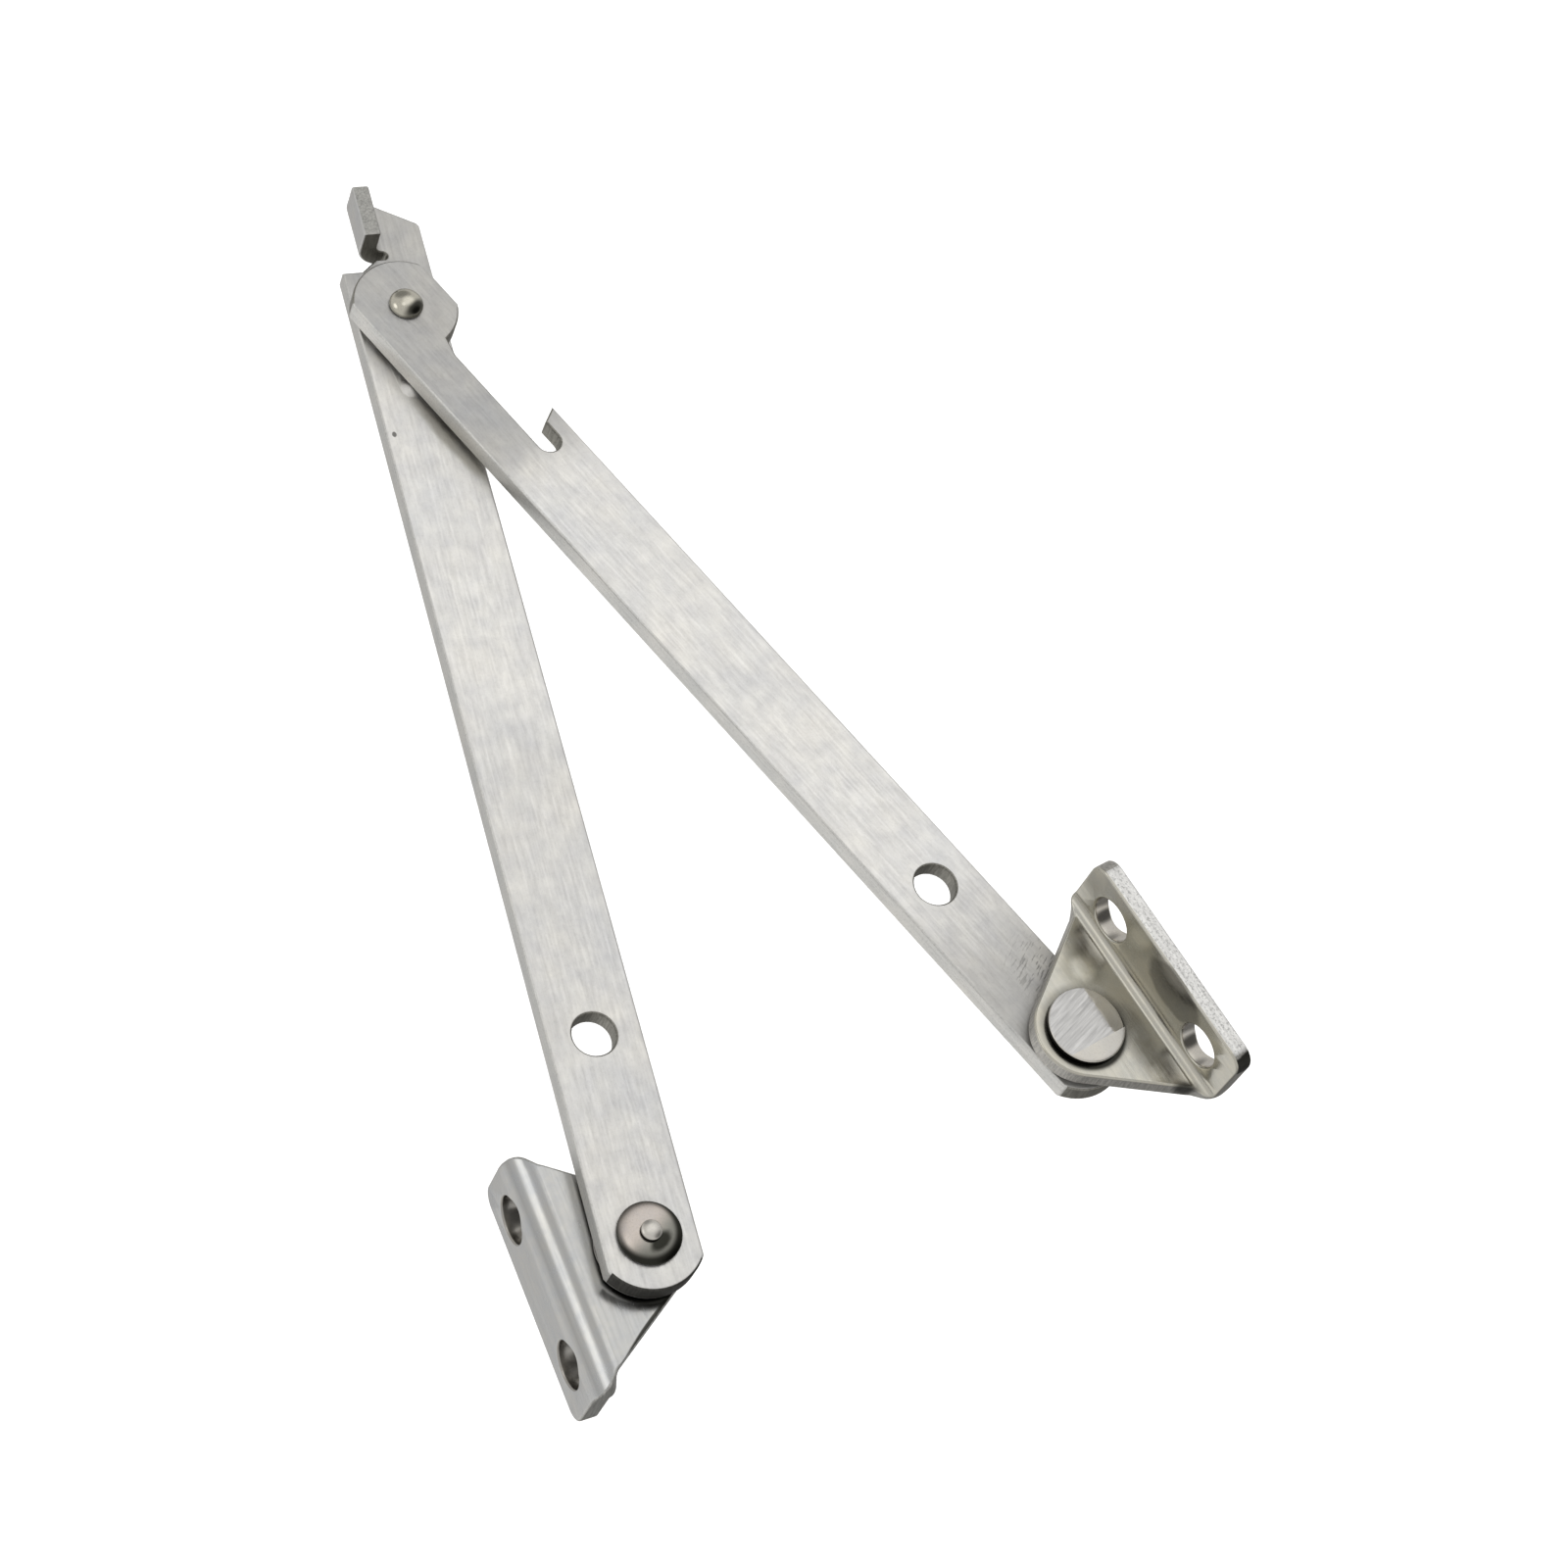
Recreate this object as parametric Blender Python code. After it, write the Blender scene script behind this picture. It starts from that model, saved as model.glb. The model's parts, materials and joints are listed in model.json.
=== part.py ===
"""Friction stay hinge in stainless steel, modelled in metres with +Z up.

Two flat arms are riveted together at an elbow, and each far end is riveted to
an L-shaped screw-on bracket. The origin is on the mounting face of the frame
bracket, midway between its screw holes, and that face looks along -X.
"""
import math

import bmesh
import bpy
from mathutils import Matrix, Vector

# Arms
ARM_LENGTH = 0.129
ARM_WIDTH = 0.012
ARM_THICK = 0.003
END_RADIUS = 0.007
SPARE_HOLE_RADIUS = 0.00275
SPARE_HOLE_INSET = 0.026

# Pose: how far the arms are open, and how each bracket sits against its arm
OPENING = math.radians(27.3)
FRAME_ARM_LEAN = math.radians(7.0)
SASH_BRACKET_LEAN = math.radians(9.3)

# Cut-out and hook in the leading edge of the sash arm, measured from the elbow
NECK_OFFSET = 0.0005
NECK_CORNER = 0.0012
NECK_EASE = 0.0095
SLOT_END = 0.0278
SLOT_WIDTH = 0.0032
HOOK_TIP = 0.0226
HOOK_HEEL = 0.0238

# Stop tab and its root on the frame arm, measured past the elbow
SHOULDER = 0.0081
RELIEF_NEAR = 0.0098
TAB_NEAR = 0.0108
TAB_FAR = 0.0184
PLATE_CORNER = 0.0154
TAB_INNER = 0.0009
TAB_HEIGHT = 0.0044
TAB_THICK = 0.0024
TAB_BEND_RADIUS = 0.0012

# Pressed pip that spaces the arms
PIP_ALONG = 0.0104
PIP_ACROSS = 0.0010
PIP_RADIUS = 0.0015
PIP_HEIGHT = 0.00045

# Brackets
BRACKET_THICK = 0.0025
BRACKET_BEND_RADIUS = 0.0015
BRACKET_NOSE_RADIUS = 0.0065
FLANGE_FACE = 0.0118
FLANGE_DEPTH = 0.012
FLANGE_HALF_LENGTH = 0.0155
FLANGE_CORNER_RADIUS = 0.0022
BRACKET_TAPER = math.radians(34)
FLARE = math.radians(56)
FLARE_FILLET = 0.0015
SHOULDER_RADIUS = 0.0022
SCREW_HOLE_RADIUS = 0.003
SCREW_HOLE_HALF_SPACING = 0.0095
SCREW_HOLE_DROP = 0.0065

# Rivets and washers
GAP = 0.0002
WASHER_THICK = 0.0003
HEAD_RADIUS = 0.005
HEAD_THICK = 0.0008
SHANK_RADIUS = 0.0024
BORE_RADIUS = 0.0027
TENON_RADIUS = 0.00095
CUP_RADIUS = 0.004
CUP_BORE_RADIUS = 0.00115
CUP_WALL = 0.0002
CUP_CROWN = 0.0008
NUB_RADIUS = 0.0013
NUB_HEIGHT = 0.0007
ELBOW_DOME_RADIUS = 0.00225
ELBOW_DOME_HEIGHT = 0.0012
ELBOW_SHANK_RADIUS = 0.0016
ELBOW_BORE_RADIUS = 0.0018
ELBOW_HEAD_RADIUS = 0.004
PIVOT_WASHER_RADIUS = 0.006
ELBOW_WASHER_RADIUS = 0.0055

# Mesh fineness
EDGE_BREAK = 0.0002
BRACKET_EDGE_BREAK = 0.0003
RIM_STEPS = 2
SLICE_SNAP = 0.00002
BEND_STEPS = 8
ARC_STEP = math.radians(12)
TURN_STEPS = 32
SHARP_ANGLE = math.radians(35)

# Heights of the stack
SPACING = GAP + WASHER_THICK + GAP
FRAME_BRACKET_TOP = SCREW_HOLE_DROP
FRAME_ARM_Z = FRAME_BRACKET_TOP + SPACING
SASH_ARM_Z = FRAME_ARM_Z + ARM_THICK + SPACING
SASH_BRACKET_Z = SASH_ARM_Z + ARM_THICK + SPACING

# Plan positions of the three pivots
FRAME_ARM_ANGLE = math.radians(90) - FRAME_ARM_LEAN
SASH_ARM_ANGLE = FRAME_ARM_ANGLE + OPENING - math.radians(180)
SASH_FLANGE_ANGLE = SASH_ARM_ANGLE - SASH_BRACKET_LEAN + math.radians(90)


def along(angle, distance):
    """Plan vector of a length and a direction."""
    return Vector((math.cos(angle), math.sin(angle), 0)) * distance


FRAME_PIVOT = Vector((FLANGE_FACE, 0, 0))
ELBOW = FRAME_PIVOT + along(FRAME_ARM_ANGLE, ARM_LENGTH)
SASH_PIVOT = ELBOW + along(SASH_ARM_ANGLE, ARM_LENGTH)


def clear_scene():
    for old in list(bpy.data.objects):
        bpy.data.objects.remove(old, do_unlink=True)


def steel(name, colour, roughness, metallic=1.0):
    """A Principled material of one colour."""
    material = bpy.data.materials.new(name)
    material.use_nodes = True
    shader = material.node_tree.nodes["Principled BSDF"]
    shader.inputs["Base Color"].default_value = (*colour, 1)
    shader.inputs["Roughness"].default_value = roughness
    shader.inputs["Metallic"].default_value = metallic
    material.diffuse_color = (*colour, 1)
    return material


def arc(centre, radius, start, end):
    """Plan points on an arc from one angle to another, ends included."""
    steps = max(2, round(abs(end - start) / ARC_STEP))
    points = []
    for i in range(steps + 1):
        angle = start + (end - start) * i / steps
        x = centre[0] + radius * math.cos(angle)
        y = centre[1] + radius * math.sin(angle)
        points.append((x, y))
    return points


def ring(centre, radius):
    """Plan points of a full circle."""
    return arc(centre, radius, 0, math.radians(360))[:-1]


def filled_face(outline, holes):
    """A flat bmesh at z = 0 of an outline with round holes left open."""
    sheet = bmesh.new()
    edges = []
    for loop in [outline] + holes:
        verts = [sheet.verts.new((x, y, 0)) for x, y in loop]
        for first, second in zip(verts, verts[1:] + verts[:1]):
            edges.append(sheet.edges.new((first, second)))
    bmesh.ops.triangle_fill(sheet, use_beauty=True, edges=edges, normal=(0, 0, 1))
    return sheet


def mark_pip(sheet, place):
    """Fills the round gap left at a pip with a disc inside a narrow band."""
    centre = Vector((place[0], place[1], 0))
    edges = [e for e in sheet.edges if (e.verts[0].co - centre).length < PIP_RADIUS * 1.01]
    disc = bmesh.ops.contextual_create(sheet, geom=edges)["faces"]
    bmesh.ops.inset_region(sheet, faces=disc, thickness=PIP_RADIUS * 0.3)


def press_pip(sheet, place):
    """Pushes the pip's disc up on both faces of the sheet."""
    for vert in sheet.verts:
        if math.dist(vert.co.xy, place) < PIP_RADIUS * 0.9:
            vert.co.z += PIP_HEIGHT


def slice_faces(sheet, faces, point, normal):
    """Cuts the given faces by a plane, so that they can bend there."""
    geometry = set(faces)
    for face in faces:
        geometry.update(face.edges)
        geometry.update(face.verts)
    bmesh.ops.bisect_plane(
        sheet, geom=list(geometry), dist=SLICE_SNAP, plane_co=point, plane_no=normal)


def round_rim(sheet, width):
    """Turns the rim of a flat face at z = 0 down along a quarter round."""
    inner = list(sheet.faces)
    angles = [math.radians(90) * step / RIM_STEPS for step in range(RIM_STEPS + 1)]
    bands = []
    for near, far in zip(angles, angles[1:]):
        inset = width * (math.cos(near) - math.cos(far))
        band = bmesh.ops.inset_region(
            sheet, faces=inner, thickness=inset, use_boundary=True, use_even_offset=True)
        bands.append(band["faces"])
    loop = {vert for edge in sheet.edges if edge.is_boundary for vert in edge.verts}
    for vert in loop:
        vert.co.z = -width
    for angle, band in zip(angles[1:], bands):
        loop = {vert for face in band for vert in face.verts} - loop
        for vert in loop:
            vert.co.z = -width * (1 - math.sin(angle))


def thicken(sheet, thickness):
    """Gives a face with its rim lowered a mirrored underside and walls."""
    extruded = bmesh.ops.extrude_face_region(sheet, geom=list(sheet.faces))
    for item in extruded["geom"]:
        if isinstance(item, bmesh.types.BMVert):
            item.co.z = -thickness - item.co.z


def fold(vert, depth, start, inner, turned_thickness, full_thickness):
    """Turns a point past a bend line through up to 90 degrees.

    depth is the distance past the line in the flat sheet. Returns how far
    past the line, and how high above the inner face, the point ends up.
    """
    neutral = inner + full_thickness / 2
    quarter = neutral * math.radians(90)
    angle = min(depth, quarter) / neutral
    share = angle / math.radians(90)
    thinning = 1 + (turned_thickness / full_thickness - 1) * share
    radius = inner + (start - vert.z) * thinning
    beyond = max(depth - quarter, 0)
    return radius * math.sin(angle), inner - radius * math.cos(angle) + beyond


def add_object(name, sheet, material, location, rotation):
    """Makes a named, smooth-shaded object from a closed bmesh."""
    bmesh.ops.recalc_face_normals(sheet, faces=sheet.faces)
    if sheet.calc_volume(signed=True) < 0:
        bmesh.ops.reverse_faces(sheet, faces=sheet.faces)
    mesh = bpy.data.meshes.new(name)
    sheet.to_mesh(mesh)
    sheet.free()
    mesh.materials.append(material)
    mesh.shade_smooth()
    mesh.set_sharp_from_angle(angle=SHARP_ANGLE)
    thing = bpy.data.objects.new(name, mesh)
    bpy.context.scene.collection.objects.link(thing)
    thing.matrix_world = Matrix.Translation(location) @ rotation


def turned(name, profile, material, location):
    """A body of revolution about Z from (radius, height) points."""
    body = bmesh.new()
    verts = [body.verts.new((radius, 0, height)) for radius, height in profile]
    closed = profile[0][0] > 0
    ends = verts[1:] + verts[:1] if closed else verts[1:]
    edges = [body.edges.new(pair) for pair in zip(verts, ends)]
    bmesh.ops.spin(
        body, geom=verts + edges, cent=(0, 0, 0), axis=(0, 0, 1),
        angle=math.radians(360), steps=TURN_STEPS, use_merge=True)
    bmesh.ops.remove_doubles(body, verts=body.verts, dist=1e-6)
    add_object(name, body, material, location, Matrix.Identity(4))


def plan_turn(angle):
    return Matrix.Rotation(angle, 4, "Z")


def arm_end(centre_x, toward):
    """The rounded end of an arm, about a pivot, between its two edges."""
    half = math.asin(ARM_WIDTH / 2 / END_RADIUS)
    return arc((centre_x, 0), END_RADIUS, toward - half, toward + half)


def frame_arm(material):
    """Arm with the upturned stop tab, its origin on the bracket pivot.

    x runs from the bracket pivot to the elbow and y to the tab's side.
    """
    side = ARM_WIDTH / 2
    elbow = ARM_LENGTH
    bend_start = TAB_INNER - TAB_BEND_RADIUS
    neutral = TAB_BEND_RADIUS + ARM_THICK / 2
    quarter = neutral * math.radians(90)
    free_edge = bend_start + quarter + TAB_HEIGHT - TAB_BEND_RADIUS
    relief = (TAB_NEAR - RELIEF_NEAR) / 2
    relief_x = elbow + RELIEF_NEAR + relief
    corner = 0.001

    outline = arm_end(0, math.radians(180))
    outline += arc((elbow + PLATE_CORNER - corner, corner - side), corner,
                   math.radians(-90), math.radians(-25))
    outline += [
        (elbow + TAB_FAR, bend_start),
        (elbow + TAB_FAR, free_edge),
        (elbow + TAB_NEAR, free_edge)]
    outline += arc((relief_x, 0), relief, 0, math.radians(-180))
    outline += [
        (elbow + RELIEF_NEAR, TAB_INNER + relief / 2),
        (elbow + SHOULDER, side - 0.0027),
        (elbow + SHOULDER, side)]
    holes = [
        ring((0, 0), BORE_RADIUS),
        ring((SPARE_HOLE_INSET, 0), SPARE_HOLE_RADIUS),
        ring((elbow, 0), ELBOW_BORE_RADIUS)]
    pip = (elbow - PIP_ALONG, PIP_ACROSS)

    sheet = filled_face(outline, holes + [ring(pip, PIP_RADIUS)])
    mark_pip(sheet, pip)
    round_rim(sheet, EDGE_BREAK)
    slice_faces(sheet, list(sheet.faces), (relief_x, 0, 0), (1, 0, 0))
    for step in range(BEND_STEPS + 1):
        y = bend_start + quarter * step / BEND_STEPS
        past = [f for f in sheet.faces if f.calc_center_median().x > relief_x]
        slice_faces(sheet, past, (0, y, 0), (0, 1, 0))
    thicken(sheet, ARM_THICK)
    press_pip(sheet, pip)
    for vert in sheet.verts:
        depth = vert.co.y - bend_start
        if vert.co.x > relief_x and depth > 0:
            across, height = fold(
                vert.co, depth, 0, TAB_BEND_RADIUS, TAB_THICK, ARM_THICK)
            vert.co.y = bend_start + across
            vert.co.z = height

    top = FRAME_PIVOT + Vector((0, 0, FRAME_ARM_Z + ARM_THICK))
    add_object("frame_arm", sheet, material, top, plan_turn(FRAME_ARM_ANGLE))


def sash_arm(material):
    """Arm with the cut-out and hook, its origin on the elbow.

    x runs from the elbow to the bracket pivot and y to the hook's side.
    """
    side = ARM_WIDTH / 2
    slot_radius = SLOT_WIDTH / 2
    neck_angle = math.asin(NECK_CORNER / END_RADIUS)
    half = math.asin(side / END_RADIUS)
    slot_x = SLOT_END - slot_radius
    hook_wall = NECK_OFFSET + SLOT_WIDTH

    outline = arm_end(0, math.radians(180))[::-1]
    outline += arc((0, 0), END_RADIUS, half, neck_angle)
    outline.append((NECK_EASE, NECK_OFFSET))
    outline += arc((slot_x, NECK_OFFSET + slot_radius), slot_radius,
                   math.radians(-90), math.radians(90))
    outline += [(HOOK_HEEL, hook_wall), (HOOK_TIP, side)]
    outline += arm_end(ARM_LENGTH, 0)[::-1]
    holes = [
        ring((0, 0), ELBOW_BORE_RADIUS),
        ring((ARM_LENGTH - SPARE_HOLE_INSET, 0), SPARE_HOLE_RADIUS),
        ring((ARM_LENGTH, 0), BORE_RADIUS)]

    sheet = filled_face(outline, holes)
    round_rim(sheet, EDGE_BREAK)
    thicken(sheet, ARM_THICK)
    top = ELBOW + Vector((0, 0, SASH_ARM_Z + ARM_THICK))
    add_object("sash_arm", sheet, material, top, plan_turn(SASH_ARM_ANGLE))


def bracket(name, material, location, rotation):
    """L-shaped bracket, its origin on the rivet and its plate just below z = 0.

    y runs from the rivet to the flange, which turns down to -z.
    """
    outer = BRACKET_BEND_RADIUS + BRACKET_THICK
    neutral = BRACKET_BEND_RADIUS + BRACKET_THICK / 2
    quarter = neutral * math.radians(90)
    bend_start = FLANGE_FACE - outer
    flange_start = bend_start + quarter
    free_edge = flange_start + FLANGE_DEPTH - outer
    hole_y = flange_start + SCREW_HOLE_DROP - outer

    # The plate's sides leave the round nose as tangents and flare out at the bend
    flare_x = BRACKET_NOSE_RADIUS / math.cos(BRACKET_TAPER)
    flare_x += bend_start * math.tan(BRACKET_TAPER)
    fillet_x = flare_x + FLARE_FILLET * math.cos(BRACKET_TAPER)
    fillet_y = bend_start - FLARE_FILLET * math.sin(BRACKET_TAPER)
    rise_x = fillet_x - FLARE_FILLET * math.cos(FLARE)
    rise_y = fillet_y + FLARE_FILLET * math.sin(FLARE)
    shoulder_x = FLANGE_HALF_LENGTH - SHOULDER_RADIUS
    start_x = shoulder_x + SHOULDER_RADIUS * math.cos(FLARE)
    shoulder_y = rise_y + (start_x - rise_x) / math.tan(FLARE)
    shoulder_y += SHOULDER_RADIUS * math.sin(FLARE)
    corner_x = FLANGE_HALF_LENGTH - FLANGE_CORNER_RADIUS
    corner_y = free_edge - FLANGE_CORNER_RADIUS
    half_turn = math.radians(180)
    quarter_turn = math.radians(90)

    side = arc((fillet_x, fillet_y), FLARE_FILLET,
               half_turn - BRACKET_TAPER, half_turn - FLARE)
    side += arc((shoulder_x, shoulder_y), SHOULDER_RADIUS, -FLARE, 0)
    side += arc((corner_x, corner_y), FLANGE_CORNER_RADIUS, 0, quarter_turn)
    outline = arc((0, 0), BRACKET_NOSE_RADIUS, BRACKET_TAPER - half_turn, -BRACKET_TAPER)
    outline += side + [(-x, y) for x, y in reversed(side)]
    holes = [
        ring((0, 0), BORE_RADIUS),
        ring((SCREW_HOLE_HALF_SPACING, hole_y), SCREW_HOLE_RADIUS),
        ring((-SCREW_HOLE_HALF_SPACING, hole_y), SCREW_HOLE_RADIUS)]

    sheet = filled_face(outline, holes)
    round_rim(sheet, BRACKET_EDGE_BREAK)
    for step in range(BEND_STEPS + 1):
        y = bend_start + quarter * step / BEND_STEPS
        slice_faces(sheet, list(sheet.faces), (0, y, 0), (0, 1, 0))
    thicken(sheet, BRACKET_THICK)
    for vert in sheet.verts:
        depth = vert.co.y - bend_start
        if depth > 0:
            # The sheet's lower face is the inside of this bend
            mirrored = Vector((vert.co.x, vert.co.y, -vert.co.z))
            across, height = fold(
                mirrored, depth, BRACKET_THICK, BRACKET_BEND_RADIUS,
                BRACKET_THICK, BRACKET_THICK)
            vert.co.y = bend_start + across
            vert.co.z = -height - BRACKET_THICK
    add_object(name, sheet, material, location, rotation)


def rivet_profile():
    """Flat head, shank and peened tenon, upwards from the head's seat at 0."""
    shank_top = GAP + BRACKET_THICK + SPACING + ARM_THICK
    floor = shank_top + GAP + CUP_CROWN
    corner = HEAD_THICK * 0.3
    points = [
        (0, -HEAD_THICK),
        (HEAD_RADIUS - corner, -HEAD_THICK),
        (HEAD_RADIUS - corner * 0.3, -HEAD_THICK + corner * 0.3),
        (HEAD_RADIUS, -HEAD_THICK + corner),
        (HEAD_RADIUS, -corner / 2),
        (HEAD_RADIUS - corner / 2, 0),
        (SHANK_RADIUS, 0),
        (SHANK_RADIUS, shank_top),
        (TENON_RADIUS, shank_top),
        (TENON_RADIUS, floor + GAP),
        (NUB_RADIUS, floor + GAP)]
    dome_base = floor + GAP + NUB_HEIGHT * 0.3
    for step in range(6):
        angle = math.radians(90) * step / 5
        radius = NUB_RADIUS * math.cos(angle)
        points.append((radius if step < 5 else 0,
                       dome_base + NUB_HEIGHT * 0.7 * math.sin(angle)))
    return points


def cup_profile():
    """Domed washer with a low straight wall, upwards from its seat at 0."""
    points = [(CUP_BORE_RADIUS, 0), (CUP_RADIUS, 0), (CUP_RADIUS, CUP_WALL)]
    steps = 7
    for step in range(1, steps + 1):
        angle = math.radians(90) * step / steps
        radius = CUP_BORE_RADIUS + (CUP_RADIUS - CUP_BORE_RADIUS) * math.cos(angle)
        points.append((radius, CUP_WALL + (CUP_CROWN - CUP_WALL) * math.sin(angle)))
    return points


def flipped(profile, height):
    """The same profile upside down, its seat at the given height."""
    return [(radius, height - level) for radius, level in reversed(profile)]


def washer(name, radius, bore, material, location):
    edge = WASHER_THICK / 4
    profile = [
        (bore, 0), (radius - edge, 0), (radius, edge),
        (radius, WASHER_THICK - edge), (radius - edge, WASHER_THICK),
        (bore, WASHER_THICK)]
    turned(name, profile, material, location)


def elbow_rivet_profile():
    """Wide flat head below, round dome above, from the head's seat at 0."""
    corner = HEAD_THICK * 0.3
    dome_seat = GAP + ARM_THICK + SPACING + ARM_THICK + GAP
    points = [
        (0, -HEAD_THICK),
        (ELBOW_HEAD_RADIUS - corner, -HEAD_THICK),
        (ELBOW_HEAD_RADIUS, -HEAD_THICK + corner),
        (ELBOW_HEAD_RADIUS, 0),
        (ELBOW_SHANK_RADIUS, 0),
        (ELBOW_SHANK_RADIUS, dome_seat),
        (ELBOW_DOME_RADIUS, dome_seat)]
    for step in range(1, 9):
        angle = math.radians(90) * step / 8
        radius = ELBOW_DOME_RADIUS * math.cos(angle) if step < 8 else 0
        points.append((radius, dome_seat + ELBOW_DOME_HEIGHT * math.sin(angle)))
    return points


def at(pivot, height):
    return pivot + Vector((0, 0, height))


def build():
    clear_scene()
    arm_steel = steel("satin_arm_steel", (0.66, 0.66, 0.64), 0.38)
    bracket_steel = steel("satin_bracket_steel", (0.62, 0.61, 0.59), 0.32)
    polished_steel = steel("polished_bracket_steel", (0.60, 0.57, 0.52), 0.2)
    rivet_steel = steel("rivet_steel", (0.62, 0.60, 0.58), 0.25)
    washer_steel = steel("washer_steel", (0.45, 0.44, 0.43), 0.4)
    cup_steel = steel("cup_steel", (0.52, 0.48, 0.45), 0.22)

    frame_arm(arm_steel)
    sash_arm(arm_steel)
    bracket("frame_bracket", bracket_steel, at(FRAME_PIVOT, FRAME_BRACKET_TOP),
            plan_turn(math.radians(90)))
    turned_over = Matrix.Rotation(math.radians(180), 4, "Y")
    bracket("sash_bracket", polished_steel, at(SASH_PIVOT, SASH_BRACKET_Z),
            plan_turn(SASH_FLANGE_ANGLE - math.radians(90)) @ turned_over)

    # Frame pivot: head under the bracket, cupped washer on top of the arm
    frame_seat = FRAME_BRACKET_TOP - BRACKET_THICK - GAP
    turned("frame_rivet", rivet_profile(), rivet_steel, at(FRAME_PIVOT, frame_seat))
    washer("frame_washer", PIVOT_WASHER_RADIUS, BORE_RADIUS, washer_steel,
           at(FRAME_PIVOT, FRAME_BRACKET_TOP + GAP))
    turned("frame_cup_washer", cup_profile(), cup_steel,
           at(FRAME_PIVOT, FRAME_ARM_Z + ARM_THICK + GAP))

    # Sash pivot: the same rivet turned over
    sash_seat = SASH_BRACKET_Z + BRACKET_THICK + GAP
    turned("sash_rivet", flipped(rivet_profile(), 0), rivet_steel,
           at(SASH_PIVOT, sash_seat))
    washer("sash_washer", PIVOT_WASHER_RADIUS, BORE_RADIUS, washer_steel,
           at(SASH_PIVOT, SASH_ARM_Z + ARM_THICK + GAP))
    turned("sash_cup_washer", flipped(cup_profile(), 0), cup_steel,
           at(SASH_PIVOT, SASH_ARM_Z - GAP))

    # Elbow: head under the frame arm, dome on the sash arm
    turned("elbow_rivet", elbow_rivet_profile(), rivet_steel,
           at(ELBOW, FRAME_ARM_Z - GAP))
    washer("elbow_washer", ELBOW_WASHER_RADIUS, ELBOW_BORE_RADIUS, washer_steel,
           at(ELBOW, FRAME_ARM_Z + ARM_THICK + GAP))


build()
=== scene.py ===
import json
import math

import bmesh
import bpy
from mathutils import Matrix, Vector


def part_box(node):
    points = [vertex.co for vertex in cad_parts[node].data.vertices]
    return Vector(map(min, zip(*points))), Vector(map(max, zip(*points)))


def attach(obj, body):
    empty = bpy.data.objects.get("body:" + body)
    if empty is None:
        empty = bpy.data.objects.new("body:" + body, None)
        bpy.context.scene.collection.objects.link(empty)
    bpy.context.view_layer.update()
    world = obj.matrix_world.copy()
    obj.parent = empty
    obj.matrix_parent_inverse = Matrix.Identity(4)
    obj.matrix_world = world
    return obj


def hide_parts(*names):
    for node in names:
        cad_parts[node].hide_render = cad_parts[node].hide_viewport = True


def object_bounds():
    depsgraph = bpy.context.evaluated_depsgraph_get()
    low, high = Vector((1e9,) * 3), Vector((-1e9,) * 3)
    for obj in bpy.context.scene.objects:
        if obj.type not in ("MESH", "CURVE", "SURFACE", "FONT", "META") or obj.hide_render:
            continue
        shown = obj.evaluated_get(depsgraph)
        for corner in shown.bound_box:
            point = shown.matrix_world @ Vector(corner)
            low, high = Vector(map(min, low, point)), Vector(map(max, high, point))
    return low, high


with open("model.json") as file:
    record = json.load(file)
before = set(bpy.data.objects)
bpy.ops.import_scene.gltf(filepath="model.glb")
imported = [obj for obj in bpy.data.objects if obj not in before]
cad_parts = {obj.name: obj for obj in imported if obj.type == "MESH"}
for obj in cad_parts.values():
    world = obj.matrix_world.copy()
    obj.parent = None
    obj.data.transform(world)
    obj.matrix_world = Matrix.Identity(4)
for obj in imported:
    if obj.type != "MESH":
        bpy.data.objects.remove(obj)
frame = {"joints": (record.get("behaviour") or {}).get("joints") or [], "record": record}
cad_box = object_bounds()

# Places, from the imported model
JOINT = {joint["name"]: Vector(joint["pos_m"]) for joint in frame["joints"]}
MOUNT = {mount["name"]: mount for mount in frame["record"]["mounts"]}
PIVOT, ELBOW, SASH = JOINT["frame_pivot"], JOINT["elbow_pivot"], JOINT["sash_pivot"]
FRAME_ARM_ANGLE = math.atan2(ELBOW.y - PIVOT.y, ELBOW.x - PIVOT.x)
SASH_ARM_ANGLE = math.atan2(SASH.y - ELBOW.y, SASH.x - ELBOW.x)
SASH_NORMAL = Vector(MOUNT["sash_face"]["axis"])
SASH_FLANGE_ANGLE = math.atan2(SASH_NORMAL.y, SASH_NORMAL.x)
ARM_LENGTH = (ELBOW - PIVOT).to_2d().length

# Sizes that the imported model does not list, in metres
ARM_WIDTH = 0.012
ARM_THICK = 0.003
END_RADIUS = 0.007
SPARE_HOLE_RADIUS = 0.00275
SPARE_HOLE_INSET = 0.026
NECK_OFFSET = 0.0005
NECK_CORNER = 0.0012
NECK_EASE = 0.0095
SLOT_END = 0.0278
SLOT_WIDTH = 0.0032
HOOK_TIP = 0.0226
HOOK_HEEL = 0.0238
SHOULDER = 0.0081
RELIEF_NEAR = 0.0098
TAB_NEAR = 0.0108
TAB_FAR = 0.0184
SHOULDER_DEPTH = 0.0027
PLATE_CORNER = 0.0154
PLATE_CORNER_RADIUS = 0.001
PLATE_CORNER_END = math.radians(-25)
TAB_INNER = 0.0009
TAB_HEIGHT = 0.0044
TAB_THICK = 0.0024
TAB_BEND_RADIUS = 0.0012
PIP_ALONG = 0.0104
PIP_ACROSS = 0.0010
PIP_RADIUS = 0.0015
PIP_HEIGHT = 0.00045
BRACKET_THICK = 0.0025
BRACKET_BEND_RADIUS = 0.0015
BRACKET_NOSE_RADIUS = 0.0065
FLANGE_FACE = PIVOT.x
FLANGE_DEPTH = 0.012
FLANGE_HALF_LENGTH = 0.0155
FLANGE_CORNER_RADIUS = 0.0022
BRACKET_TAPER = math.radians(34)
FLARE = math.radians(56)
FLARE_FILLET = 0.0015
SHOULDER_RADIUS = 0.0022
SCREW_HOLE_RADIUS = 0.003
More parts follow.
